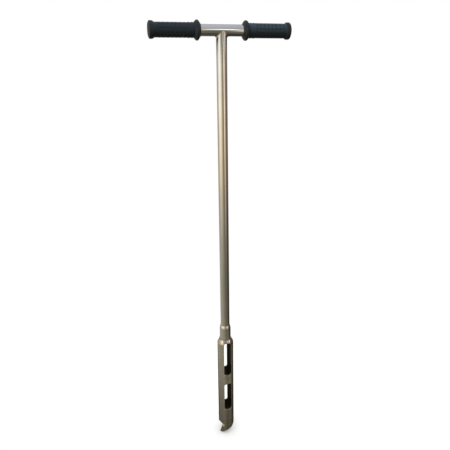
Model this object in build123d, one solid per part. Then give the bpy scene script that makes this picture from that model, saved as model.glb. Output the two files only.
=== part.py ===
from build123d import *
import os

# Soil sampler: a T handle with rubber grips, a long shaft and a windowed sampling head.
# Millimetres. The origin is on the shaft's axis at the level of the tooth tips, +Z is up
# the shaft and X runs along the crossbar.

# Crossbar and shaft, plain round tubes
bar_od = 25.4
bar_wall = 2.0
bar_length = 318.2
shaft_od = 25.0
shaft_wall = 2.0
shaft_length = 788.0          # from its seat in the collar to the crossbar's axis
handle_weld_radius = 5.0      # hollow of the dressed weld that flares the shaft under the bar
cope_gap = 0.05               # hairline between the shaft's top and the crossbar

# Rubber grips
grip_length = 115.0
grip_clearance = 0.05         # between the bar and the grip's bore, all round
grip_wall = 2.85              # rubber over the bar
grip_end_wall = 5.0           # rubber past the bar's end
flange_rise = 5.9             # guard flange above the body
flange_width = 14.6           # guard flange at its root
flange_nose = 1.6             # thickness of the flange's inner mouth
flange_land = 4.0             # flat of the flange's rim
lip_rise = 3.0                # end lip above the body
lip_flare = 5.0               # length of the slope up to the lip
lip_width = 9.0               # from the lip's foot to the closed end
lip_chamfer = 1.2

# Collar that joins the shaft to the head
collar_wall = 3.0             # metal round the shaft
collar_height = 33.5          # straight part
collar_taper = 10.5           # height of the tapered top
collar_rim = 0.5              # edge left at the top of the taper
socket_depth = 30.0           # how far the shaft goes in
socket_clearance = 0.05       # between the shaft and the socket, all round
neck_spigot_radius = 9.0      # spigot under the collar
neck_spigot_length = 5.0
neck_weld_leg = 1.5           # bead round the collar's foot

# Sampling head
sampler_od = 45.2
sampler_wall = 2.0
head_turn = 3.5               # degrees from the crossbar's square to the windows
shoulder_height = 14.0
shoulder_cut = 6.5            # how far the upper window runs up into the shoulder
upper_window = 105.5          # window lengths along the tube
window_bridge = 31.0          # tube left between the windows
lower_window = 90.0
lower_land = 35.0             # tube below the lower window
window_width = 21.2
window_corner = 7.0

# Cutting crown
crown_height = 57.0
crown_wall = 2.6              # thicker than the tube, so a core passes freely once cut
tooth_count = 2
tooth_angle = 191.6           # first tooth tip, degrees about the axis from the head's X
back_rise = 40.2              # a tooth's lower edge climbs this far to the next gullet
back_start = 0.7              # slope at the tip, as a share of the mean slope
edge_land = 0.6               # flat left on the ground edge
bevel_height = 3.0            # ground bevel on the outside of the edge, at the tip
gullet_root_height = 37.0     # root of the gap in front of a tooth
gullet_reach = 12.0           # root's distance behind the tooth tip
gullet_hook = 0.9             # hollow of the tooth's leading edge
gullet_round = 2.5            # radius at the root
hook_round = 60.0             # radius that sweeps the leading edge into its hollow
back_sections = 10            # sections that the rising edge is drawn through
cut_margin = 3.0              # cutters run past the wall by this much

# Levels and radii that follow
bar_radius = bar_od / 2
shaft_radius = shaft_od / 2
bore_radius = bar_radius + grip_clearance
grip_radius = bore_radius + grip_wall
socket_radius = shaft_radius + socket_clearance
collar_radius = socket_radius + collar_wall
head_radius = sampler_od / 2
mouth_radius = head_radius - crown_wall

lower_window_z = crown_height + lower_land
upper_window_z = lower_window_z + lower_window + window_bridge
tube_top_z = upper_window_z + upper_window - shoulder_cut
neck_z = tube_top_z + shoulder_height
collar_top_z = neck_z + collar_height + collar_taper
shaft_seat_z = collar_top_z - socket_depth
bar_z = shaft_seat_z + shaft_length


def turned(outline):
    """Solid of revolution about Z from a closed outline drawn as (radius, height)."""
    return revolve(Plane.XZ * make_face(outline), Axis.Z)


def tube(outer_radius, wall, length):
    """Round tube standing on the origin."""
    return extrude(Circle(outer_radius) - Circle(outer_radius - wall), length)


def bar_envelope(gap=0.0):
    """Space that the crossbar fills, its bore and a gap round it included."""
    return Pos(0, 0, bar_z) * Rot(0, 90, 0) * Cylinder(bar_radius + gap, bar_length)


def shaft_envelope(radius):
    """Round bar of that radius, from the shaft's seat to the crossbar's axis."""
    return Pos(0, 0, bar_z - shaft_length / 2) * Cylinder(radius, shaft_length)


def crossbar():
    blank = tube(bar_radius, bar_wall, bar_length)
    return Pos(-bar_length / 2, 0, bar_z) * Rot(0, 90, 0) * blank


def shaft_tube():
    """Tube whose top is coped to the crossbar and flared by the weld metal in the corner there."""
    joint = bar_envelope() + shaft_envelope(shaft_radius)
    middle = [edge for edge in joint.edges() if abs(edge.center().X) < shaft_radius]
    seam = [edge for edge in middle if edge.center().Z > bar_z - bar_od]
    flared = fillet(seam, handle_weld_radius) - bar_envelope(cope_gap)
    return flared - shaft_envelope(shaft_radius - shaft_wall)


def grip():
    """Right-hand grip, drawn along the bar from its flange at 0 to its closed end."""
    flange_top = grip_radius + flange_rise
    lip_top = grip_radius + lip_rise
    lip_foot = grip_length - lip_width
    bore_end = grip_length - grip_end_wall
    outline = Polyline(
        (0, bore_radius),
        (0, bore_radius + flange_nose),
        ((flange_width - flange_land) / 2, flange_top),
        ((flange_width + flange_land) / 2, flange_top),
        (flange_width, grip_radius),
        (lip_foot - lip_flare, grip_radius),
        (lip_foot, lip_top),
        (grip_length - lip_chamfer, lip_top),
        (grip_length, lip_top - lip_chamfer),
        (grip_length, 0),
        (bore_end, 0),
        (bore_end, bore_radius),
        close=True,
    )
    body = revolve(make_face(outline), Axis.X)
    inner_end = bar_length / 2 + grip_end_wall - grip_length
    return Pos(inner_end, 0, bar_z) * body


def socket_collar():
    outline = Polyline(
        (0, neck_z - neck_spigot_length),
        (neck_spigot_radius, neck_z - neck_spigot_length),
        (neck_spigot_radius, neck_z),
        (collar_radius, neck_z),
        (collar_radius, neck_z + collar_height),
        (socket_radius + collar_rim, collar_top_z),
        (socket_radius, collar_top_z),
        (socket_radius, shaft_seat_z),
        (0, shaft_seat_z),
        close=True,
    )
    return turned(outline)


def neck_weld():
    """Bead in the corner between the collar's foot and the shoulder."""
    outline = Polyline(
        (collar_radius, neck_z),
        (collar_radius + neck_weld_leg, neck_z),
        (collar_radius, neck_z + neck_weld_leg),
        close=True,
    )
    return turned(outline)


def window(length, low_z):
    """Cutter for one window, straight through both walls along Y."""
    outline = RectangleRounded(window_width, length, window_corner)
    cutter = extrude(Plane.XZ * outline, head_radius + cut_margin, both=True)
    return Pos(0, 0, low_z + length / 2) * cutter


def head_shoulder():
    """Solid cone on the tube's top end, with the upper window running up into it."""
    outline = Polyline(
        (collar_radius + neck_weld_leg, neck_z),
        (head_radius, tube_top_z),
        (0, tube_top_z),
        (0, neck_z - neck_spigot_length),
        (neck_spigot_radius, neck_z - neck_spigot_length),
        (neck_spigot_radius, neck_z),
        close=True,
    )
    return turned(outline) - Rot(0, 0, head_turn) * window(upper_window, upper_window_z)


def sampler_tube():
    blank = Pos(0, 0, crown_height) * tube(head_radius, sampler_wall, tube_top_z - crown_height)
    windows = window(lower_window, lower_window_z) + window(upper_window, upper_window_z)
    return Rot(0, 0, head_turn) * (blank - windows)


def back_section(share):
    """Cutter's section at a share of the way along one rising edge, in the radial plane there.

    The climb steepens and the bevel fades out towards the next gullet.
    """
    climb = back_rise * share * (back_start + (1 - back_start) * share)
    bevel_slope = bevel_height * (1 - share**2) / (crown_wall - edge_land)
    edge_radius = mouth_radius + edge_land
    inside = mouth_radius - cut_margin
    outside = head_radius + cut_margin
    outline = Polyline(
        (inside, -cut_margin),
        (outside, -cut_margin),
        (outside, climb + bevel_slope * (outside - edge_radius)),
        (edge_radius, climb),
        (inside, climb),
        close=True,
    )
    return Rot(0, 0, tooth_angle + share * 360 / tooth_count) * (Plane.XZ * make_face(outline))


def rising_edge():
    """Everything under one tooth's back, lofted through radial sections."""
    shares = [number / (back_sections - 1) for number in range(back_sections)]
    return loft([back_section(share) for share in shares])


def gullet():
    """Gap in front of one tooth, drawn flat on the wall and cut through it along the radius."""
    hook = (gullet_reach / 2 + gullet_hook, gullet_root_height / 2)
    outline = FilletPolyline(
        (0, -cut_margin),
        (0, 0),
        hook,
        (gullet_reach, gullet_root_height),
        (0, back_rise),
        (-cut_margin, gullet_root_height),
        (-cut_margin, -cut_margin),
        radius=[0, 0, hook_round, gullet_round, 0, 0, 0],
        close=True,
    )
    face = Plane(origin=(0, 0, 0), x_dir=(0, 1, 0), z_dir=(1, 0, 0)) * make_face(outline)
    return Rot(0, 0, tooth_angle) * extrude(face, head_radius + cut_margin)


def cutting_crown():
    crown = tube(head_radius, crown_wall, crown_height)
    for number in range(tooth_count):
        place = Rot(0, 0, number * 360 / tooth_count)
        crown -= place * rising_edge()
        crown -= place * gullet()
    return Rot(0, 0, head_turn) * crown


right_grip = grip()
nodes = {
    "crossbar": crossbar(),
    "left_grip": mirror(right_grip, Plane.YZ),
    "right_grip": right_grip,
    "shaft_tube": shaft_tube(),
    "socket_collar": socket_collar(),
    "neck_weld": neck_weld(),
    "head_shoulder": head_shoulder(),
    "sampler_tube": sampler_tube(),
    "cutting_crown": cutting_crown(),
}

os.makedirs("parts", exist_ok=True)
for name, solid in nodes.items():
    export_step(solid, f"parts/{name}.step")
    print(name, len(solid.solids()), round(solid.volume, 1))
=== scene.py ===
import math
import bmesh
import bpy
import numpy as np
from mathutils import Matrix, Vector


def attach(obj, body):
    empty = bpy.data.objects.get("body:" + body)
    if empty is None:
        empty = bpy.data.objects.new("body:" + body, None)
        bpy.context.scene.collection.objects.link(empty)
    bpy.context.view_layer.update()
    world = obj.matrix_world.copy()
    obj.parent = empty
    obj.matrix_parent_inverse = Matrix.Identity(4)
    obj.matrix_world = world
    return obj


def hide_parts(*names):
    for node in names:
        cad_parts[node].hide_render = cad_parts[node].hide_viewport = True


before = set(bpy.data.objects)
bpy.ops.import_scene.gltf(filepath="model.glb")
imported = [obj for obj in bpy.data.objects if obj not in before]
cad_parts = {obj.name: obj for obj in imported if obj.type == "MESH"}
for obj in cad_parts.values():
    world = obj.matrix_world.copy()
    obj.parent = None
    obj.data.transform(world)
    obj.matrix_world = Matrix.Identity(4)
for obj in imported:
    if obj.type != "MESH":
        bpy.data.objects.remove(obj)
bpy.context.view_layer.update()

mm = 0.001  # the pieces' sizes are in millimetres, their meshes in metres
fullTurn = 2 * np.pi
print("stage: frame loaded,", len(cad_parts), "CAD nodes")


# Surfaces: every piece is one or more grids of computed points, joined and closed.

mergeGap = 0.002  # points closer than this become one


def gridSurface(points, wrapRows=False, wrapColumns=False):
    # quads between neighbouring points of a rows x columns x 3 array
    rows, columns = points.shape[:2]
    index = np.arange(rows * columns).reshape(rows, columns)
    if wrapRows:
        index = np.vstack([index, index[:1]])
    if wrapColumns:
        index = np.hstack([index, index[:, :1]])
    quads = np.stack([index[:-1, :-1], index[1:, :-1], index[1:, 1:], index[:-1, 1:]], axis=-1)
    return points.reshape(-1, 3), quads.reshape(-1, 4)


def roundedLine(corners, steps=7, closed=False):
    # corners are (across, along, radius); a corner with a radius becomes an arc tangent to both sides
    corners = np.array(corners, float)
    line = []
    for number, (across, along, radius) in enumerate(corners):
        corner = np.array([across, along])
        isEnd = not closed and number in (0, len(corners) - 1)
        if radius == 0 or isEnd:
            line.append(corner[None])
            continue
        before = corners[number - 1, :2] - corner
        after = corners[(number + 1) % len(corners), :2] - corner
        before /= np.linalg.norm(before)
        after /= np.linalg.norm(after)
        half = np.arccos(np.clip(before @ after, -1, 1)) / 2
        middle = before + after
        centre = corner + middle / np.linalg.norm(middle) * radius / np.sin(half)
        start = corner + before * radius / np.tan(half) - centre
        end = corner + after * radius / np.tan(half) - centre
        sweep = np.arctan2(start[0] * end[1] - start[1] * end[0], start @ end)
        turn = np.linspace(0, sweep, steps)
        line.append(centre + np.stack([start[0] * np.cos(turn) - start[1] * np.sin(turn),
                                       start[0] * np.sin(turn) + start[1] * np.cos(turn)], axis=-1))
    return np.vstack(line)


def onCylinder(radius, angle, height):
    # x = radius cos a, y = radius sin a, z = height
    radius, angle, height = np.broadcast_arrays(radius, angle, height)
    return np.stack([radius * np.cos(angle), radius * np.sin(angle), height], axis=-1)


def turnedPoints(line, segments=160):
    # a line of (radius, height) carried round Z
    angle = np.linspace(0, fullTurn, segments, endpoint=False)
    return onCylinder(line[:, :1], angle, line[:, 1:])


def alongX(points, barHeight):
    # the turned piece laid down: its axis goes along X at the crossbar's height
    return np.stack([points[..., 2], points[..., 0], points[..., 1] + barHeight], axis=-1)


def turnZ(points, degrees):
    # x' = x cos t - y sin t, y' = x sin t + y cos t
    turn = np.radians(degrees)
    x, y, z = points[..., 0], points[..., 1], points[..., 2]
    return np.stack([x * np.cos(turn) - y * np.sin(turn), x * np.sin(turn) + y * np.cos(turn), z], axis=-1)


def makePiece(name, surfaces, material, nodes=(), sharpAngle=40):
    # one closed mesh: seams and poles merged, faces turned outward, smooth but for sharp corners
    counts = np.cumsum([0] + [len(points) for points, quads in surfaces])
    points = np.vstack([part for part, quads in surfaces]) * mm
    quads = np.vstack([part + first for (own, part), first in zip(surfaces, counts)])
    mesh = bpy.data.meshes.new(name)
    mesh.from_pydata(points.tolist(), [], quads.tolist())
    work = bmesh.new()
    work.from_mesh(mesh)
    bmesh.ops.remove_doubles(work, verts=work.verts, dist=mergeGap * mm)
    bmesh.ops.recalc_face_normals(work, faces=work.faces)
    openEdges = sum(not edge.is_manifold for edge in work.edges)
    work.to_mesh(mesh)
    work.free()
    mesh.shade_smooth()
    mesh.set_sharp_from_angle(angle=math.radians(sharpAngle))
    mesh.materials.append(material)
    piece = bpy.data.objects.new(name, mesh)
    bpy.context.scene.collection.objects.link(piece)
    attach(piece, "root")
    if nodes:
        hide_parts(*nodes)
    print("piece:", name, len(mesh.polygons), "faces,", openEdges, "open edges")


# Materials: procedural, in Object coordinates, with pattern sizes from real millimetres.

def linear(hexColour):
    # sRGB hex to the linear colour that shaders use
    srgb = np.array([int(hexColour[i:i + 2], 16) for i in (1, 3, 5)]) / 255
    value = np.where(srgb <= 0.04045, srgb / 12.92, ((srgb + 0.055) / 1.055) ** 2.4)
    return (*value.tolist(), 1.0)


def addNode(tree, kind, inputs=None, stops=(), **settings):
    # a node with its settings; a ramp's stops are (place, colour), an input is a value, a socket or a node
    node = tree.nodes.new(kind)
    for key, value in settings.items():
        setattr(node, key, value)
    elements = node.color_ramp.elements if stops else []
    while len(elements) < len(stops):
        elements.new(0.5)  # anywhere: every element gets its place below
    for element, (place, colour) in zip(elements, stops):
        element.position, element.color = place, colour
    for key, value in (inputs or {}).items():
        if isinstance(value, bpy.types.Node):
            value = next(output for output in value.outputs if output.enabled)
        if isinstance(value, bpy.types.NodeSocket):
            tree.links.new(value, node.inputs[key])
        else:
            node.inputs[key].default_value = value
    return node


def newMaterial(name):
    # an empty material, its node tree and its Object coordinates
    material = bpy.data.materials.new(name)
    material.use_nodes = True
    tree = material.node_tree
    tree.nodes.clear()
    where = addNode(tree, "ShaderNodeTexCoord").outputs["Object"]
    return material, tree, where


# a pale, rough spot by each tooth: ground finish, its paler colour partly a painted highlight
# half widths in degrees and half heights at which the patch is full, and at which it has faded out
groundAndHighlightSpot = {"teeth": 2, "bearing": 231.0, "height": 31.5, "halfWidths": (3.0, 10.0), "halfHeights": (2.0, 6.0),
              "colour": "#eeece6", "roughness": 0.75}


def groundAndHighlightPatch(tree, where, spot, colour, gloss):
    # freshly ground steel beside each tooth's leading edge: rough enough to catch light from all round, and
    # painted paler, partly the ground finish and partly a painted highlight;
    # cos(teeth x (angle - bearing)) is 1 at the middle of every tooth's patch
    part = addNode(tree, "ShaderNodeSeparateXYZ", {"Vector": where})
    around = addNode(tree, "ShaderNodeMath", {0: part.outputs["Y"], 1: part.outputs["X"]}, operation="ARCTAN2")
    repeated = addNode(tree, "ShaderNodeMath", {
        0: around, 1: spot["teeth"], 2: -spot["teeth"] * math.radians(spot["bearing"])}, operation="MULTIPLY_ADD")
    beside = addNode(tree, "ShaderNodeMath", {0: repeated}, operation="COSINE")
    full, faded = [math.cos(spot["teeth"] * math.radians(angle)) for angle in spot["halfWidths"]]
    near = addNode(tree, "ShaderNodeMapRange", {"Value": beside, "From Min": faded, "From Max": full})
    offset = addNode(tree, "ShaderNodeMath", {0: part.outputs["Z"], 1: spot["height"] * mm}, operation="SUBTRACT")
    away = addNode(tree, "ShaderNodeMath", {0: offset}, operation="ABSOLUTE")
    full, faded = [height * mm for height in spot["halfHeights"]]
    level = addNode(tree, "ShaderNodeMapRange", {"Value": away, "From Min": faded, "From Max": full})
    patch = addNode(tree, "ShaderNodeMath", {0: near, 1: level}, operation="MULTIPLY")
    colour = addNode(tree, "ShaderNodeMix", {
        "Factor": patch, "A": colour, "B": linear(spot["colour"])}, data_type="RGBA")
    gloss = addNode(tree, "ShaderNodeMix", {
        "Factor": patch, "A": gloss, "B": spot["roughness"]}, data_type="FLOAT")
    return colour, gloss


# real polish lines are too fine to show, so they are drawn about a millimetre wide
# the bore's colour inside the tube is soil stain together with painted shade
polish = {"lineWidth": 1.1, "lineDetail": 2.0, "lineDepth": 0.2, "lineShare": 0.55, "wearDetail": 4.0,
          "contrast": (0.35, 0.65), "stainAndShade": "#5c5548", "stainRoughness": 0.5, "stainAndShadeEdge": 0.3}


def metal(name, grain, bright, dull, smooth, rough, scratch=0.02, bore=0.0, wearSize=36.0, wearGrain=(1, 1, 1),
          spot=None):
    # tint and roughness = a mix of polish lines, drawn out where the grain is small, and broad wear;
    # within the bore's radius the steel is unpolished and painted dark, partly soil stain and partly painted
    # shade, which keeps the windows dark inside
    material, tree, where = newMaterial(name)
    lineSpace = addNode(tree, "ShaderNodeMapping", {"Vector": where, "Scale": grain})
    lines = addNode(tree, "ShaderNodeTexNoise", {
        "Vector": lineSpace, "Scale": 1 / (polish["lineWidth"] * mm), "Detail": polish["lineDetail"]})
    wearSpace = addNode(tree, "ShaderNodeMapping", {"Vector": where, "Scale": wearGrain})
    wear = addNode(tree, "ShaderNodeTexNoise", {
        "Vector": wearSpace, "Scale": 1 / (wearSize * mm), "Detail": polish["wearDetail"]})
    both = addNode(tree, "ShaderNodeMix", {
        "Factor": polish["lineShare"], "A": wear, "B": lines}, data_type="FLOAT")
    low, high = polish["contrast"]
    colour = addNode(tree, "ShaderNodeValToRGB", {"Fac": both}, [(low, linear(dull)), (high, linear(bright))])
    gloss = addNode(tree, "ShaderNodeMapRange", {
        "Value": both, "From Min": low, "From Max": high, "To Min": rough, "To Max": smooth})
    bump = addNode(tree, "ShaderNodeBump", {
        "Height": lines, "Strength": scratch, "Distance": polish["lineDepth"] * mm})
    flat = addNode(tree, "ShaderNodeMapping", {"Vector": where, "Scale": (1, 1, 0)})
    fromAxis = addNode(tree, "ShaderNodeVectorMath", {0: flat}, operation="LENGTH")
    outside = addNode(tree, "ShaderNodeMapRange", {
        "Value": fromAxis, "From Min": bore * mm, "From Max": (bore + polish["stainAndShadeEdge"]) * mm})
    # painted shade inside the bore, together with soil stain
    colour = addNode(tree, "ShaderNodeMix", {
        "Factor": outside, "A": linear(polish["stainAndShade"]), "B": colour}, data_type="RGBA")
    gloss = addNode(tree, "ShaderNodeMix", {
        "Factor": outside, "A": polish["stainRoughness"], "B": gloss}, data_type="FLOAT")
    if spot:
        colour, gloss = groundAndHighlightPatch(tree, where, spot, colour, gloss)
    steel = addNode(tree, "ShaderNodeBsdfPrincipled", {
        "Base Color": colour, "Metallic": 1.0, "Roughness": gloss, "Normal": bump})
    addNode(tree, "ShaderNodeOutputMaterial", {"Surface": steel})
    return material


# belt polished: near mirrors, with reflections drawn out along the tube
barSteel = metal("stainless tube belt polished along X", grain=(0.02, 1, 1), bright="#d4d4d3", dull="#c6c6c4",
                 smooth=0.07, rough=0.13)
shaftSteel = metal("stainless tube belt polished along Z", grain=(1, 1, 0.02), bright="#d3d2d0", dull="#c5c4c1",
                   smooth=0.07, rough=0.14)

# turned, then buffed: faint rings round the axis, and reflections a little softer than the tubes'
collarSteel = metal("stainless collar turned and buffed", grain=(0.05, 0.05, 1), bright="#d6d5d1", dull="#c6c4be",
                    smooth=0.09, rough=0.17, scratch=0.03)

# turned and worn by soil: a warmer grey with soft reflections, and painted dark inside with soil stain and painted
# shade
headSteel = metal("stainless head turned and polished", grain=(0.05, 0.05, 1), bright="#ccc8be", dull="#b4afa4",
                  smooth=0.14, rough=0.26, scratch=0.05, bore=20.7)

# ground on a wheel: duller and warmer than the tube above it, with bands round it, painted dark inside with soil
# stain and painted shade, and a pale spot by each tooth that is partly ground finish and partly a painted
# highlight
crownSteel = metal("hardened steel crown ground round the edge", grain=(0.05, 0.05, 1), bright="#c4beb0",
                   dull="#a39c8b", smooth=0.18, rough=0.32, scratch=0.08, bore=20.1, wearSize=5.0,
                   wearGrain=(0.08, 0.08, 1), spot=groundAndHighlightSpot)

# dressed by hand: bright, with uneven strokes that break up the reflections
shoulderSteel = metal("stainless shoulder dressed by hand", grain=(0.3, 0.3, 0.6), bright="#cfccc3",
                      dull="#b2aea2", smooth=0.10, rough=0.2, scratch=0.08)
weldSteel = metal("stainless weld dressed and buffed", grain=(0.4, 0.4, 0.4), bright="#d2cfc8", dull="#b5b0a6",
                  smooth=0.10, rough=0.26, scratch=0.10)

# left as laid: dull, brownish and rough
beadSteel = metal("stainless weld bead left as laid", grain=(1, 1, 1), bright="#a39c8e", dull="#6f685c",
                  smooth=0.24, rough=0.42, scratch=0.2)
print("stage: steels")

# Crossbar: plain tube, its ends inside the grips.

crossbar = {"radius": 12.7, "wall": 2.0, "length": 318.2, "height": 1128.0, "endRound": 0.5, "boreRound": 0.3}


def crossbarPiece(size):
    # the wall's outline, with its four corners rounded, turned about X
    outer, inner, half = size["radius"], size["radius"] - size["wall"], size["length"] / 2
    line = roundedLine([(inner, -half, size["boreRound"]), (outer, -half, size["endRound"]),
                        (outer, half, size["endRound"]), (inner, half, size["boreRound"])], closed=True)
    points = alongX(turnedPoints(line), size["height"])
    makePiece("crossbar_tube", [gridSurface(points, True, True)], barSteel, ["crossbar"])


crossbarPiece(crossbar)

# Shaft and its dressed weld: the weld is a ball's path, rolled along the corner between shaft and crossbar.
# lumps are (number round the shaft, phase, height); levels are shares of the shaft's length

shaft = {"radius": 12.5, "wall": 2.0, "seat": 340.0, "levels": (0.0, 0.02, 0.3, 0.6, 0.9, 1.0), "segments": 192,
         "weldRadius": 5.0, "weldSteps": 14, "unevenness": 0.12, "lumps": ((5, 0.6, 1.0), (11, 2.1, 0.6))}


def shaftPieces(size, bar):
    # ball centre: shaft radius + ball from the shaft's axis and bar radius + ball from the bar's axis;
    # the weld turns about it from facing the shaft to facing the bar
    angle = np.linspace(0, fullTurn, size["segments"], endpoint=False)
    ball = size["weldRadius"]
    out, over = size["radius"] + ball, bar["radius"] + ball
    centre = onCylinder(out, angle, -np.sqrt(over**2 - (out * np.sin(angle))**2))
    toShaft = onCylinder(-1, angle, 0)
    toBar = np.stack([0 * angle, -centre[:, 1], -centre[:, 2]], axis=-1) / over
    sweep = np.arccos(np.clip((toShaft * toBar).sum(axis=-1), -1, 1))
    share = np.linspace(0, 1, size["weldSteps"])[:, None]
    near = np.sin((1 - share) * sweep) / np.sin(sweep)
    far = np.sin(share * sweep) / np.sin(sweep)
    facing = near[..., None] * toShaft + far[..., None] * toBar
    # hand dressing: waves round the shaft that die out at both edges of the weld
    waves = sum(height * np.sin(count * angle + phase) for count, phase, height in size["lumps"])
    waves = waves / sum(height for count, phase, height in size["lumps"])
    weld = centre + facing * (ball - size["unevenness"] * np.sin(np.pi * share) * waves * sweep)[..., None]
    weld[..., 2] += bar["height"]
    side, seat = weld[0], size["seat"]
    inner = size["radius"] - size["wall"]
    level = np.array(size["levels"])[:, None]
    outside = np.stack([side[:, 0] + 0 * level, side[:, 1] + 0 * level,
                        seat + level * (side[:, 2] - seat)], axis=-1)
    top = bar["height"] - np.sqrt(bar["radius"]**2 - (inner * np.sin(angle))**2)
    inside = onCylinder(inner, angle, top + level * (seat - top))
    cope = np.stack([weld[-1], inside[0]])
    tubeTop = np.stack([outside[-1], inside[0]])
    foot = np.stack([inside[-1], outside[0]])
    tube = [gridSurface(part, False, True) for part in (outside, tubeTop, inside, foot)]
    makePiece("shaft_tube_polished", tube, shaftSteel, ["shaft_tube"], sharpAngle=12)
    bead = [gridSurface(part, False, True) for part in (weld, cope, tubeTop)]
    makePiece("handle_weld", bead, weldSteel, sharpAngle=50)


shaftPieces(shaft, crossbar)

# Grips: turned rubber with a guard flange, two rings, rows of raised blocks and a rounded closed end.

grip = {
    "length": 115.0, "endWall": 5.0, "bore": 12.75, "radius": 15.9, "lineSteps": 9,
    "flange": 21.5, "flangeWidth": 14.6, "flangeLand": 4.0, "nose": 1.6, "noseRound": 0.7, "rimRound": 2.4,
    "footRound": 2.0, "footLength": 1.2,
    "lip": 18.6, "lipWidth": 9.0, "lipFlare": 5.0, "plain": 0.3, "plainLength": 2.0, "flareRound": 5.0,
    "lipRound": 3.0, "endDrop": 5.0, "endDepth": 2.2, "dropRound": 2.4, "endRound": 5.0,
    "ringPlaces": (18.5, 26.0), "ringRise": 0.5, "ringWidth": 1.6, "ringReach": 1.6, "ringSteps": 13,
    "blockStart": 30.4, "blockPitch": 9.3, "blockCount": 7, "blockRows": 10, "rowTurn": 27.5, "blockSteps": 7,
    "grooveDepth": 0.55, "grooveHalf": 0.4, "grooveSlope": 0.7, "slopeSteps": 5, "blockEdge": 2.6}

# the skin's grain is drawn coarser than the mould's own, so that it shows
rubberSkin = {"groove": 15.4, "rim": 16.6, "edge": 0.5, "endFace": 161.0, "endEdge": 2.0, "topLightFade": 7.0,
              "underTopLight": 0.15, "black": "#0f1113", "plainSheen": "#e6eaee", "blockSkyReflectionTint": "#b2d6ee",
              "sheen": 0.6, "grain": 0.7, "grainDepth": 0.3, "grainStrength": 0.12, "grainDetail": 2.0,
              "wear": 22.0, "wearDetail": 3.0, "wearRange": (0.3, 0.7), "matt": 0.62, "rubbed": 0.46}


def rubber(name, paintedTopLight, ends, skin, bar):
    # moulded: near black in the grooves; painted light on the blocks, a cool highlight strongest on their upper
    # side; a painted tone on the end, lighter or darker by how light falls on it;
    # matt in the skin and shinier where hands rub it
    material, tree, where = newMaterial(name)
    grain = addNode(tree, "ShaderNodeTexNoise", {
        "Vector": where, "Scale": 1 / (skin["grain"] * mm), "Detail": skin["grainDetail"]})
    wear = addNode(tree, "ShaderNodeTexNoise", {
        "Vector": where, "Scale": 1 / (skin["wear"] * mm), "Detail": skin["wearDetail"]})
    fromBar = addNode(tree, "ShaderNodeMapping", {
        "Vector": where, "Location": (0, 0, -bar["height"] * mm), "Scale": (0, 1, 1)})
    radius = addNode(tree, "ShaderNodeVectorMath", {0: fromBar}, operation="LENGTH")
    aboveGroove = addNode(tree, "ShaderNodeMapRange", {
        "Value": radius, "From Min": skin["groove"] * mm, "From Max": (skin["groove"] + skin["edge"]) * mm})
    belowRim = addNode(tree, "ShaderNodeMapRange", {
        "Value": radius, "From Min": (skin["rim"] + skin["edge"]) * mm, "From Max": skin["rim"] * mm})
    blocks = addNode(tree, "ShaderNodeMath", {0: aboveGroove, 1: belowRim}, operation="MULTIPLY")
    # painted light: the blocks get more of the cool colour on their upper side, as if lit from above
    aloft = addNode(tree, "ShaderNodeSeparateXYZ", {"Vector": fromBar}).outputs["Z"]
    paintedLitUpperSide = addNode(tree, "ShaderNodeMapRange", {
        "Value": aloft, "From Min": -skin["topLightFade"] * mm, "From Max": skin["topLightFade"] * mm,
        "To Min": skin["underTopLight"]})
    paintedTopLightShare = addNode(tree, "ShaderNodeMath", {0: blocks, 1: paintedLitUpperSide}, operation="MULTIPLY")
    colour = addNode(tree, "ShaderNodeMix", {
        "Factor": paintedTopLightShare, "A": linear(skin["black"]), "B": linear(paintedTopLight)}, data_type="RGBA")
    # the blocks' blue sheen tint is a painted reflection of a blue sky
    sheen = addNode(tree, "ShaderNodeMix", {
        "Factor": blocks, "A": linear(skin["plainSheen"]), "B": linear(skin["blockSkyReflectionTint"])}, data_type="RGBA")
    # painted light: the end gets its own tone, lighter or darker as if lit from one side
    across = addNode(tree, "ShaderNodeSeparateXYZ", {"Vector": where}).outputs["X"]
    fromMiddle = addNode(tree, "ShaderNodeMath", {0: across}, operation="ABSOLUTE")
    atEnd = addNode(tree, "ShaderNodeMapRange", {
        "Value": fromMiddle, "From Min": skin["endFace"] * mm,
        "From Max": (skin["endFace"] + skin["endEdge"]) * mm})
    colour = addNode(tree, "ShaderNodeMix", {"Factor": atEnd, "A": colour, "B": linear(ends)}, data_type="RGBA")
    low, high = skin["wearRange"]
    gloss = addNode(tree, "ShaderNodeMapRange", {
        "Value": wear, "From Min": low, "From Max": high, "To Min": skin["matt"], "To Max": skin["rubbed"]})
    bump = addNode(tree, "ShaderNodeBump", {
        "Height": grain, "Strength": skin["grainStrength"], "Distance": skin["grainDepth"] * mm})
    surface = addNode(tree, "ShaderNodeBsdfPrincipled", {
        "Base Color": colour, "Roughness": gloss, "Normal": bump, "Specular Tint": sheen,
        "Specular IOR Level": skin["sheen"]})
    addNode(tree, "ShaderNodeOutputMaterial", {"Surface": surface})
    return material


def gripOutline(size, bodyAlong):
    # (radius, along) from the flange's mouth over the body's points to the middle of the closed end
    body, width, end, bore = size["radius"], size["flangeWidth"], size["length"], size["bore"]
    rimStart, rimEnd = (width - size["flangeLand"]) / 2, (width + size["flangeLand"]) / 2
    front = roundedLine([(bore, 0, 0), (bore + size["nose"], 0, size["noseRound"]),
                         (size["flange"], rimStart, size["rimRound"]), (size["flange"], rimEnd, size["rimRound"]),
                         (body, width, size["footRound"]), (body, width + size["footLength"], 0)],
                        size["lineSteps"])
    plain, lip, lipFoot = body - size["plain"], size["lip"], end - size["lipWidth"]
    flare = lipFoot - size["lipFlare"]
    back = roundedLine([(plain, flare - size["plainLength"], 0), (plain, flare, size["flareRound"]),
                        (lip, lipFoot, size["lipRound"]), (lip, end - size["endDepth"], size["dropRound"]),
                        (lip - size["endDrop"], end, size["endRound"]), (0, end, 0)], size["lineSteps"])
    return np.vstack([front, np.stack([np.full_like(bodyAlong, body), bodyAlong], axis=-1), back])


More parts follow.
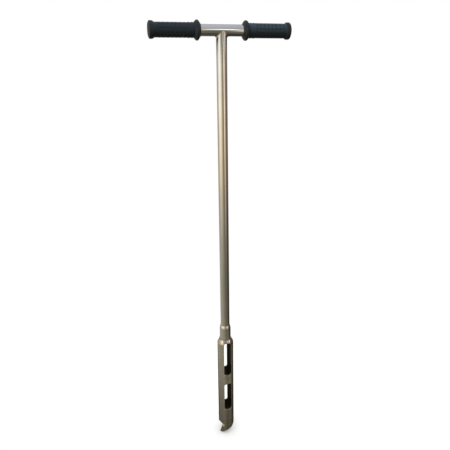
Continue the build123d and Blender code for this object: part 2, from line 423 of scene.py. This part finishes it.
def gripPiece(name, size, bar, side, node, material):
    # radius = outline - groove depth near each block's border, along and around, + a flat-topped rise at each ring
    def inGroove(distance):
        # 1 on a groove's floor, falling evenly to 0 across its slope
        return 1 - np.clip((distance - size["grooveHalf"]) / size["grooveSlope"], 0, 1)

    slope = size["grooveHalf"] + size["grooveSlope"] * np.linspace(0, 1, size["slopeSteps"])
    offsets = np.concatenate([slope, [size["blockEdge"]]])
    bothWays = np.concatenate([-offsets[::-1], [0], offsets])
    pitch, first = size["blockPitch"], size["blockStart"]
    borders = first + pitch * np.arange(size["blockCount"] + 1)
    last = borders[-1]
    reach = size["ringReach"] * size["ringWidth"]
    rings = np.array(size["ringPlaces"])[:, None] + np.linspace(-reach, reach, size["ringSteps"])
    bodyAlong = np.sort(np.concatenate([rings.ravel(), (borders[:, None] + bothWays).ravel()]))
    line = gripOutline(size, bodyAlong)
    radius, along = line[:, :1], line[:, 1:]
    rowAngle = fullTurn / size["blockRows"]
    across = bothWays / size["radius"]
    blockTop = np.linspace(across[-1], rowAngle - across[-1], size["blockSteps"])[1:-1]
    inRow = np.concatenate([across, blockTop])
    angle = (np.arange(size["blockRows"])[:, None] * rowAngle + inRow).ravel()
    fromBorder = np.abs((along - first + pitch / 2) % pitch - pitch / 2)
    fromRow = np.abs((angle + rowAngle / 2) % rowAngle - rowAngle / 2) * size["radius"]
    groove = inGroove(np.minimum(fromBorder, fromRow))
    groove = groove * groove * (3 - 2 * groove)
    groove = np.where((along < first) | (along > last), inGroove(fromBorder), groove)
    inBlocks = (along > first - slope[-1]) & (along < last + slope[-1])
    rise = sum(np.exp(-((along - place) / size["ringWidth"])**4) for place in size["ringPlaces"])
    radius = radius - size["grooveDepth"] * groove * inBlocks + size["ringRise"] * rise
    angle = angle + np.radians(size["rowTurn"])
    inner, boreEnd = bar["length"] / 2 + size["endWall"] - size["length"], size["length"] - size["endWall"]
    hollow = np.array([(0, boreEnd), (size["bore"], boreEnd), (size["bore"], 0)])
    outside = onCylinder(radius, angle, side * (along + inner))
    inside = onCylinder(hollow[:, :1], angle, side * (hollow[:, 1:] + inner))
    surfaces = [gridSurface(alongX(points, bar["height"]), False, True) for points in (outside, inside)]
    makePiece(name, surfaces, material, [node], sharpAngle=50)


# the right grip gets more painted light on its blocks; the left one a lighter painted tone on its end and the
# right one a darker one, as if lit from the left
rightRubber = rubber("moulded black rubber right with bloom", "#2f3c43", "#131619", rubberSkin, crossbar)
leftRubber = rubber("moulded black rubber left", "#1b2328", "#30363a", rubberSkin, crossbar)
gripPiece("grip_rubber_right", grip, crossbar, 1, "right_grip", rightRubber)
gripPiece("grip_rubber_left", grip, crossbar, -1, "left_grip", leftRubber)
print("stage: handle")

# Collar and weld: a turned profile with broken edges; the bead is left as it was laid.
# lumps are (number round the collar, phase, height)

neck = {"low": 326.0, "collarRadius": 15.55, "straight": 33.5, "taper": 10.5, "taperLift": 3.0, "taperRound": 30.0,
        "socket": 12.55, "socketDepth": 30.0, "rim": 0.5, "rimRound": 0.3, "socketRound": 0.15, "spigot": 9.0,
        "spigotLength": 5.0, "segments": 240, "lineSteps": 12,
        "weldLeg": 1.5, "weldHollow": 0.18, "weldLumps": ((3, 1.0, 0.12), (7, 2.2, 0.1)), "weldRipples": 46,
        "weldRipple": 0.07, "rippleLean": 2.2, "ripplePoints": 6, "weldSteps": 11}


def neckPieces(size):
    # collar: its outline turned about Z, the taper's foot swept in a wide arc
    low, outer = size["low"], size["collarRadius"]
    straightTop = low + size["straight"]
    top = straightTop + size["taper"]
    under, socketFloor = low - size["spigotLength"], top - size["socketDepth"]
    collarLine = roundedLine([(0, under, 0), (size["spigot"], under, 0), (size["spigot"], low, 0), (outer, low, 0),
                              (outer, straightTop + size["taperLift"], size["taperRound"]),
                              (size["socket"] + size["rim"], top, size["rimRound"]),
                              (size["socket"], top, size["socketRound"]),
                              (size["socket"], socketFloor, 0), (0, socketFloor, 0)], size["lineSteps"])
    collar = gridSurface(turnedPoints(collarLine, size["segments"]), False, True)
    makePiece("socket_collar_turned", [collar], collarSteel, ["socket_collar"],
              sharpAngle=30)
    # bead: distance from the corner = leg x (hollow and lumps) x (ripples that lean with the weld's travel)
    angle = np.linspace(0, fullTurn, size["ripplePoints"] * size["weldRipples"], endpoint=False)
    climb = np.linspace(0, np.pi / 2, size["weldSteps"])[:, None]
    midway = np.sin(2 * climb)
    lumps = 1 + sum(height * np.sin(count * angle + phase) for count, phase, height in size["weldLumps"])
    ripple = np.cos(size["weldRipples"] * angle - size["rippleLean"] * midway) * midway
    reach = size["weldLeg"] * (1 - size["weldHollow"] * midway) * lumps * (1 + size["weldRipple"] * ripple)
    bead = onCylinder(outer + reach * np.cos(climb), angle, low + reach * np.sin(climb))
    corner = onCylinder(outer, angle, low)[None]
    ring = gridSurface(np.concatenate([bead, corner]), True, True)
    makePiece("neck_weld_bead", [ring], beadSteel, ["neck_weld"], sharpAngle=50)


neckPieces(neck)

# Sampling head: the windows are notches, from a level up or down; each half of a wall is one grid round its notch.

head = {"radius": 22.6, "wall": 2.0, "low": 57.0, "middle": 197.5, "high": 312.0, "seam": 0.08, "turn": 3.5,
        "lowerWindow": (92.0, 182.0), "upperWindow": (213.0, 318.5), "windowWidth": 21.2, "windowCorner": 7.0,
        "edgeRound": 0.45, "edgeSteps": 5, "rings": 14, "cornerSteps": 7, "endSteps": 8, "sideStep": 2.6}
shoulder = {"bend": 2.0, "dress": 0.6, "ridges": 6, "ridgeAt": -127.0}


def notchLoop(size, level, far, corner, grow):
    # foot, straight, half arc; half arc, end, half arc; half arc, straight, foot: three lines of (across, height)
    toward = np.sign(far - level)
    centre, centreHeight = size["windowWidth"] / 2 - corner, far - toward * corner
    steps = round(abs(centreHeight - level) / size["sideStep"]) + 1
    bend = np.radians(np.linspace(0, 90, 2 * size["cornerSteps"] - 1))
    arc = np.stack([-centre - (corner + grow) * np.cos(bend),
                    centreHeight + toward * (corner + grow) * np.sin(bend)])
    straight = np.stack([np.full(steps, arc[0, 0]), np.linspace(level, centreHeight, steps)])
    side = np.hstack([straight[:, :-1], arc[:, :size["cornerSteps"]]])
    flat = np.stack([np.linspace(-centre, centre, size["endSteps"])[1:-1],
                     np.full(size["endSteps"] - 2, far + toward * grow)])
    arc = arc[:, size["cornerSteps"] - 1:]
    mirrored = np.array([[-1], [1]])
    return [side, np.hstack([arc, flat, (arc * mirrored)[:, ::-1]]), (side * mirrored)[:, ::-1]]


def joinSides(sides):
    # one line; each side's last point is the next side's first
    return np.hstack([side[:, :-1] for side in sides[:-1]] + [sides[-1]])


def notchBorder(size, notch, frameFar):
    # half's border in (angle, height), with points at the same shares of each side as the notch's
    level = notch[0]
    corners = np.array([(-np.pi / 2, level), (-np.pi / 2, frameFar), (np.pi / 2, frameFar), (np.pi / 2, level)])
    border = []
    for side, start, end in zip(notchLoop(size, *notch, 0), corners[:-1], corners[1:]):
        length = np.concatenate([[0], np.cumsum(np.hypot(*np.diff(side, axis=1)))])
        border.append(start[:, None] + (end - start)[:, None] * length / length[-1])
    return border


def notchRows(size, notch, frameFar, radiusAt, inward):
    # rows from the border to the notch, even in angle and height, then a quarter round into the wall
    edge = size["edgeRound"]
    border = joinSides(notchBorder(size, notch, frameFar))
    across, high = joinSides(notchLoop(size, *notch, edge))
    share = np.linspace(0, 1, size["rings"])[:, None]
    height = border[1] + share * (high - border[1])
    angle = border[0] + share * (np.arcsin(across / radiusAt(high)) - border[0]) - np.pi / 2
    rows = [onCylinder(radiusAt(height), angle, height)]
    for turn in np.linspace(0, np.pi / 2, size["edgeSteps"])[1:]:
        across, high = joinSides(notchLoop(size, *notch, edge * (1 - np.sin(turn))))
        depth = -np.sqrt(radiusAt(high)**2 - across**2) + inward * edge * (1 - np.cos(turn))
        rows.append(np.stack([across, depth, high], axis=-1)[None])
    return np.concatenate(rows)


def samplerPiece(size):
    # each half is outer and inner wall round three notches: both ends of the lower window, the upper one's foot
    outer, inner, seam = size["radius"], size["radius"] - size["wall"], size["seam"]
    low, corner = size["low"], size["windowCorner"]
    (lowerFoot, lowerTop), upperFoot = size["lowerWindow"], size["upperWindow"][0]
    centre = (lowerFoot + lowerTop) / 2
    parts = [((centre, lowerFoot, corner), low, seam), ((centre, lowerTop, corner), size["middle"], 0),
             ((size["high"], upperFoot, corner), size["middle"], 0)]
    rim = np.array([(outer, low + seam), (outer - seam, low), (inner, low)])
    rimAngle = notchBorder(size, *parts[0][:2])[1][0] - np.pi / 2
    surfaces = []
    for half in (0, 180):
        for notch, frameFar, gap in parts:
            outside = notchRows(size, notch, frameFar + gap, lambda height: outer, 1)
            inside = notchRows(size, notch, frameFar, lambda height: inner, -1)
            surfaces.append(gridSurface(turnZ(np.concatenate([outside, inside[::-1]]), half)))
        for foot in (0, -1):  # rim at the top, from the last notch
            surfaces.append(gridSurface(turnZ(np.stack([outside[:, foot], inside[:, foot]]), half)))
        surfaces.append(gridSurface(turnZ(onCylinder(rim[:, :1], rimAngle, rim[:, 1:]), half)))
    surfaces = [(turnZ(points, size["turn"]), quads) for points, quads in surfaces]
    makePiece("sampler_tube_windowed", surfaces, headSteel, ["sampler_tube"])


def shoulderPiece(size, tube, collar):
    # radius = tube radius - slope x (root of (climb squared + bend squared) - bend), a cone with a soft start
    low, top, bend = tube["high"], collar["low"], size["bend"]
    topRadius, spigotFloor = collar["collarRadius"] + collar["weldLeg"], top - collar["spigotLength"]
    slope = (tube["radius"] - topRadius) / (np.hypot(top - low, bend) - bend)

    def coneRadius(height):
        # the formula above, with the climb taken from the tube's top
        return tube["radius"] - slope * (np.hypot(height - low, bend) - bend)

    def dressed(points):
        # hand dressing: a bulge at mid height that swells into a soft ridge several times round
        around = np.arctan2(points[..., 1], points[..., 0]) - np.radians(size["ridgeAt"])
        climb = np.clip((points[..., 2] - low) / (top - low), 0, 1)
        bulge = size["dress"] * np.sin(np.pi * climb) * (1 + np.cos(size["ridges"] * around))
        return points * (1 + np.stack([bulge, bulge, 0 * bulge], axis=-1) / tube["radius"])

    windowTop = tube["upperWindow"][1]
    notch = (low, windowTop, windowTop - low)
    across = notchRows(tube, notch, top, coneRadius, 1)
    mirrored = across * (1, -1, 1)
    angle = notchBorder(tube, notch, top)[1][0] - np.pi / 2
    roof = np.array([(topRadius, top), (collar["spigot"], top), (collar["spigot"], spigotFloor), (0, spigotFloor)])
    cover = onCylinder(roof[:, :1], angle, roof[:, 1:])
    surfaces = [across, mirrored, np.stack([across[-1], mirrored[-1]]), cover, cover * (1, -1, 1)]
    surfaces += [np.stack([across[:, foot], mirrored[:, foot]]) for foot in (0, -1)]  # underside on the tube
    surfaces = [gridSurface(dressed(turnZ(points, tube["turn"]))) for points in surfaces]
    makePiece("head_shoulder_coned", surfaces, shoulderSteel, ["head_shoulder"],
              sharpAngle=30)


samplerPiece(head)
shoulderPiece(shoulder, head, neck)

# Cutting crown: hooked teeth, each between its own gap's edge and its climbing back.

crown = {"mouth": 20.0, "teeth": 2, "tipAngle": 191.6, "rise": 40.2, "start": 0.7, "land": 0.6, "bevel": 3.0,
         "root": 37.0, "reach": 12.0, "hook": 0.9, "rootRound": 2.5, "hookRound": 60.0, "edgeSteps": 24,
         "rows": 110, "columns": 72, "bevelSteps": 6, "collarSteps": 9, "trialShare": 0.3, "trials": 3000}


def crownPiece(size, tube):
    # a tooth's face on either wall runs, row by row, from its gap's edge across to its climbing back
    outer, mouth, rise = tube["radius"], size["mouth"], size["rise"]
    height, seam = tube["low"], tube["seam"]
    sector = fullTurn / size["teeth"]
    hook = (size["reach"] / 2 + size["hook"], size["root"] / 2, size["hookRound"])
    edgeLine = roundedLine([(0, 0, 0), hook, (size["reach"], size["root"], size["rootRound"]), (0, rise, 0)],
                           size["edgeSteps"])
    length = np.concatenate([[0], np.cumsum(np.hypot(*np.diff(edgeLine, axis=0).T))])

    def onEdge(share):
        # point of the gap's edge, as (distance behind the tip, height), at a share of its length
        return [np.interp(share * length[-1], length, edgeLine[:, axis]) for axis in (0, 1)]

    def backHeight(share, radius):
        # climbs ever steeper to the next gap; the bevel lifts the outside and fades out on the way
        outward = np.clip((radius - mouth - size["land"]) / (outer - mouth - size["land"]), 0, 1)
        climb = rise * share * (size["start"] + (1 - size["start"]) * share)
        return climb + size["bevel"] * (1 - share**2) * outward

    radii = np.concatenate([[mouth], np.linspace(mouth + size["land"], outer, size["bevelSteps"])])
    trial = np.linspace(0, size["trialShare"], size["trials"])[:, None]
    behind, edgeHeight = onEdge(trial)
    above = edgeHeight - backHeight(np.arcsin(behind / radii) / sector, radii)
    meeting = np.array([np.interp(0, column, trial[:, 0]) for column in above.T])  # where edge and back meet
    rows = np.linspace(0, 1, size["rows"])[:, None]
    behind, wallHeight = onEdge(meeting + (1 - meeting) * rows)
    wallAngle = np.arcsin(behind / radii)
    backShare = wallAngle[0] / sector + (1 - wallAngle[0] / sector) * rows
    stripAngle, stripHeight = backShare * sector, backHeight(backShare, radii)
    across = np.linspace(0, 1, size["columns"])
    band = np.linspace(0, 1, size["collarSteps"])[:, None]
    rim = np.array([(outer, height - seam), (outer - seam, height), (mouth, height)])
    surfaces = []
    for tooth in range(size["teeth"]):
        tip = np.radians(size["tipAngle"] + tube["turn"]) + tooth * sector
        surfaces.append(gridSurface(onCylinder(radii, tip + wallAngle, wallHeight)))
        surfaces.append(gridSurface(onCylinder(radii, tip + stripAngle, stripHeight)))
        for column, radius, top in ((-1, outer, height - seam), (0, mouth, height)):
            left, right = wallAngle[:, [column]], stripAngle[:, [column]]
            low, high = wallHeight[:, [column]], stripHeight[:, [column]]
            face = onCylinder(radius, tip + left + across * (right - left), low + across * (high - low))
            collar = onCylinder(radius, tip + across * sector, rise + band * (top - rise))
            surfaces += [gridSurface(face), gridSurface(collar)]
        surfaces.append(gridSurface(onCylinder(rim[:, :1], tip + across * sector, rim[:, 1:])))
    makePiece("cutting_crown_ground", surfaces, crownSteel, ["cutting_crown"], sharpAngle=25)


crownPiece(crown, head)
print("stage: head")

# Camera: fitted to the photograph's outlines of shaft, handle and head; metres and degrees.

view = {"distance": 1.0753, "azimuth": -14.95, "height": 1.0433, "pitch": 19.36, "yaw": -0.16, "roll": -0.663,
        "focalPixels": 440.0, "imagePixels": 450.0, "sensorWidth": 36.0, "nearest": 0.05}


def addCamera(fit):
    # looks along the pitched and yawed direction, then rolls about it; lens = sensor x focal / image pixels
    azimuth, pitch = math.radians(fit["azimuth"]), math.radians(fit["pitch"])
    yaw, roll = azimuth + math.radians(fit["yaw"]), math.radians(fit["roll"])
    place = np.array([fit["distance"] * math.sin(azimuth), -fit["distance"] * math.cos(azimuth), fit["height"]])
    ahead = np.array([-math.sin(yaw) * math.cos(pitch), math.cos(yaw) * math.cos(pitch), -math.sin(pitch)])
    level = np.array([math.cos(yaw), math.sin(yaw), 0])
    upright = np.cross(level, ahead)
    right = math.cos(roll) * level + math.sin(roll) * upright
    up = -math.sin(roll) * level + math.cos(roll) * upright
    data = bpy.data.cameras.new("photo_camera")
    data.sensor_width = fit["sensorWidth"]
    data.lens = fit["focalPixels"] / fit["imagePixels"] * fit["sensorWidth"]
    data.clip_start = fit["nearest"]
    camera = bpy.data.objects.new("photo_camera", data)
    matrix = np.eye(4)
    matrix[:3] = np.stack([right, up, -ahead, place], axis=-1)
    camera.matrix_world = Matrix(matrix.tolist())
    bpy.context.scene.collection.objects.link(camera)
    bpy.context.scene.camera = camera


addCamera(view)

# Stage: pale floor that fades into a white surround, and the room that the metal mirrors; metres.

floor = {"radius": 0.9, "fadeStart": 0.15, "mottle": 17.0 * mm, "mottleDetail": 3.0,
         "tones": ("#fbfbfa", "#ffffff"), "segments": 96, "rings": 9}

# room: four rings of tones by bearing in degrees from the front, the lowest first, and a plain ceiling;
# each join gives the heights in degrees between which one goes over into the next;
# gains and tints brighten or dim and warm every bearing alike, by height
room = {
    "radius": 4.0, "centre": 0.9, "strength": 3.4, "fullGain": 2.2, "segments": 96, "rings": 49,
    "lowest": [(-180, "#4a4740"), (-144, "#4a4740"), (-129, "#95928a"), (-75, "#918d80"), (-32, "#a09c8c"),
               (-10, "#807c6d"), (26, "#7a7669"), (48, "#8c8878"), (70, "#7c7765"), (100, "#423f36"),
               (180, "#4a4740")],
    "ground": [(-180, "#bcb9b2"), (-150, "#a29e94"), (-65, "#8d897c"), (-10, "#706c5b"), (3, "#6a6656"),
               (11, "#565449"), (20, "#565449"), (30, "#646050"), (66, "#4c473b"), (88, "#2a271f"),
               (120, "#2a271f"), (180, "#bcb9b2")],
    "walls": [(-180, "#b4b1ab"), (-140, "#a09d95"), (-114, "#b2aea4"), (-92, "#f2eee2"), (-72, "#fffbef"),
              (-45, "#f2ecdb"), (-30, "#cbc4b3"), (-15, "#aba18f"), (-4, "#756958"), (9.5, "#a79c8a"),
              (12, "#757770"), (18, "#757770"), (21.5, "#fff4e4"), (29, "#fff4e4"), (40, "#cfc0b3"),
              (56, "#8c7c72"), (75, "#6d5d55"), (110, "#6c5e57"), (150, "#a09992"), (180, "#b4b1ab")],
    "upper": [(-180, "#6a655c"), (-130, "#48443c"), (-97, "#3e3a33"), (-82, "#d8d4c8"), (-74, "#fffcf4"),
              (-60, "#fffcf4"), (-46, "#c4beaf"), (-30, "#8a8475"), (-4, "#756e5f"), (9, "#7e776a"),
              (11.5, "#d8d7d0"), (18, "#ffffff"), (21, "#6d665a"), (42, "#7a7368"), (54, "#f6f4f0"),
              (64, "#f6f4f0"), (73, "#48423a"), (140, "#48423a"), (180, "#6a655c")],
    "ceiling": "#b6b8bc",
    "joins": [(-46, -38, "LINEAR"), (-32, -2, "SMOOTHSTEP"), (4, 7, "LINEAR"), (16, 24, "LINEAR")],
    "gains": [(-90, 0.5), (-80, 0.45), (-66, 0.22), (-60, 0.22), (-50, 0.4), (-45, 0.9), (-41, 1.0), (4, 1.0),
              (10, 1.05), (16, 1.9), (21, 1.0), (25, 0.55), (31, 0.8), (45, 0.8), (75, 0.95), (90, 1.0)],
    "tints": [(-27, "#ffffff"), (-19, "#fff6ef"), (-13, "#fff5e3"), (-5, "#fff8ed"), (2, "#ffffff")]}


def stageObject(name, surface, material):
    # a plain mesh that isn't part of the object
    points, quads = surface
    mesh = bpy.data.meshes.new(name)
    mesh.from_pydata(points.tolist(), [], quads.tolist())
    mesh.materials.append(material)
    item = bpy.data.objects.new(name, mesh)
    bpy.context.scene.collection.objects.link(item)
    return item


def floorMaterial(size):
    # plain white, clear towards its rim, so that no edge shows against the white surround
    material, tree, where = newMaterial("white studio floor")
    mottle = addNode(tree, "ShaderNodeTexNoise", {
        "Vector": where, "Scale": 1 / size["mottle"], "Detail": size["mottleDetail"]})
    low, high = size["tones"]
    white = addNode(tree, "ShaderNodeValToRGB", {"Fac": mottle}, [(0.0, linear(low)), (1.0, linear(high))])
    away = addNode(tree, "ShaderNodeVectorMath", {0: where}, operation="LENGTH")
    fade = addNode(tree, "ShaderNodeMapRange", {
        "Value": away, "From Min": size["fadeStart"], "From Max": size["radius"]}, interpolation_type="SMOOTHSTEP")
    matt = addNode(tree, "ShaderNodeBsdfDiffuse", {"Color": white})
    clear = addNode(tree, "ShaderNodeBsdfTransparent")
    shader = addNode(tree, "ShaderNodeMixShader", {"Fac": fade, 1: matt, 2: clear})
    addNode(tree, "ShaderNodeOutputMaterial", {"Surface": shader})
    return material


def roomMaterial(size):
    # glow = tone by bearing and height x gain by height x tint by height: what polished steel has to mirror
    material, tree, where = newMaterial("room mirrored in the metal")
    fromCentre = addNode(tree, "ShaderNodeVectorMath", {0: where, 1: (0, 0, size["centre"])}, operation="SUBTRACT")
    outward = addNode(tree, "ShaderNodeVectorMath", {0: fromCentre}, operation="NORMALIZE")
    part = addNode(tree, "ShaderNodeSeparateXYZ", {"Vector": outward})
    toFront = addNode(tree, "ShaderNodeMath", {0: part.outputs["Y"], 1: -1.0}, operation="MULTIPLY")
    bearing = addNode(tree, "ShaderNodeMath", {0: part.outputs["X"], 1: toFront}, operation="ARCTAN2")
    rising = addNode(tree, "ShaderNodeMath", {0: part.outputs["Z"]}, operation="ARCSINE")
    around = addNode(tree, "ShaderNodeMapRange", {"Value": bearing, "From Min": -math.pi, "From Max": math.pi})
    upward = addNode(tree, "ShaderNodeMapRange", {
        "Value": rising, "From Min": -math.pi / 2, "From Max": math.pi / 2})
    lowest, *higher = [
        addNode(tree, "ShaderNodeValToRGB", {"Fac": around}, [
            ((angle + 180) / 360, linear(colour)) for angle, colour in size[ring]])
        for ring in ("lowest", "ground", "walls", "upper")]
    tone = lowest
    for nextTone, (low, high, kind) in zip(higher + [linear(size["ceiling"])], size["joins"]):
        share = addNode(tree, "ShaderNodeMapRange", {
            "Value": rising, "From Min": math.radians(low), "From Max": math.radians(high)},
            interpolation_type=kind)
        tone = addNode(tree, "ShaderNodeMix", {"Factor": share, "A": tone, "B": nextTone}, data_type="RGBA")
    gains = [(angle, (gain / size["fullGain"],) * 3 + (1,)) for angle, gain in size["gains"]]
    tints = [(angle, linear(colour)) for angle, colour in size["tints"]]
    for byHeight in (gains, tints):
        shade = addNode(tree, "ShaderNodeValToRGB", {"Fac": upward}, [
            ((angle + 90) / 180, colour) for angle, colour in byHeight])
        tone = addNode(tree, "ShaderNodeMix", {
            "Factor": 1.0, "A": tone, "B": shade}, data_type="RGBA", blend_type="MULTIPLY")
    glow = addNode(tree, "ShaderNodeEmission", {"Color": tone, "Strength": size["strength"]})
    addNode(tree, "ShaderNodeOutputMaterial", {"Surface": glow})
    return material


def addFloor(size):
    # rings of points round the origin, at even distances
    angle = np.linspace(0, fullTurn, size["segments"], endpoint=False)
    disc = onCylinder(np.linspace(0, size["radius"], size["rings"])[:, None], angle, 0.0)
    item = stageObject("studio_floor", gridSurface(disc, False, True), floorMaterial(size))
    item.visible_glossy = False  # the metal mirrors the room instead


def addRoom(size):
    # a ball: radius cos t round the axis, centre + radius sin t up it; only the metal sees it
    angle = np.linspace(0, fullTurn, size["segments"], endpoint=False)
    tilt = np.linspace(-np.pi / 2, np.pi / 2, size["rings"])[:, None]
    ball = onCylinder(size["radius"] * np.cos(tilt), angle, size["centre"] + size["radius"] * np.sin(tilt))
    item = stageObject("studio_room", gridSurface(ball, False, True), roomMaterial(size))
    item.visible_camera = False
    item.visible_diffuse = False
    item.visible_shadow = False


addFloor(floor)
addRoom(room)
print("stage: floor and room")

# Light: a soft white surround, brighter overhead, and one large soft lamp.

light = {"below": 0.15, "level": 0.45, "overhead": 1.4, "horizon": 0.15, "lampEnergy": 9.5, "lampSize": 1.8,
         "lampPlace": (-0.9, -1.1, 2.6), "lampAim": (0.0, 0.0, 0.7)}


def addLight(size):
    # surround: plain white to the eye and in mirrors; as light it grows from level to overhead with the ray's rise
    world = bpy.data.worlds.new("white surround")
    bpy.context.scene.world = world
    world.use_nodes = True
    tree = world.node_tree
    tree.nodes.clear()
    path = addNode(tree, "ShaderNodeLightPath")
    seen = addNode(tree, "ShaderNodeMath", {
        0: path.outputs["Is Camera Ray"], 1: path.outputs["Is Glossy Ray"]}, operation="MAXIMUM")
    white = addNode(tree, "ShaderNodeMath", {0: seen, 1: path.outputs["Is Transmission Ray"]}, operation="MAXIMUM")
    toward = addNode(tree, "ShaderNodeTexCoord").outputs["Generated"]
    rise = addNode(tree, "ShaderNodeSeparateXYZ", {"Vector": toward}).outputs["Z"]
    upper = addNode(tree, "ShaderNodeMapRange", {
        "Value": rise, "To Min": size["level"], "To Max": size["overhead"]})
    isUpper = addNode(tree, "ShaderNodeMapRange", {"Value": rise, "From Min": -size["horizon"], "From Max": 0.0})
    soft = addNode(tree, "ShaderNodeMix", {"Factor": isUpper, "A": size["below"], "B": upper}, data_type="FLOAT")
    strength = addNode(tree, "ShaderNodeMix", {"Factor": white, "A": soft, "B": 1.0}, data_type="FLOAT")
    surround = addNode(tree, "ShaderNodeBackground", {"Color": linear("#ffffff"), "Strength": strength})
    addNode(tree, "ShaderNodeOutputWorld", {"Surface": surround})
    data = bpy.data.lights.new("soft_lamp", "AREA")
    data.shape = "DISK"
    data.size = size["lampSize"]
    data.energy = size["lampEnergy"]
    lamp = bpy.data.objects.new("soft_lamp", data)
    lamp.location = size["lampPlace"]
    lamp.rotation_mode = "QUATERNION"
    lamp.rotation_quaternion = (Vector(size["lampAim"]) - Vector(size["lampPlace"])).to_track_quat("-Z", "Y")
    lamp.visible_glossy = False
    bpy.context.scene.collection.objects.link(lamp)


addLight(light)
bpy.context.scene.view_settings.view_transform = "Standard"

print("stage: scene complete")
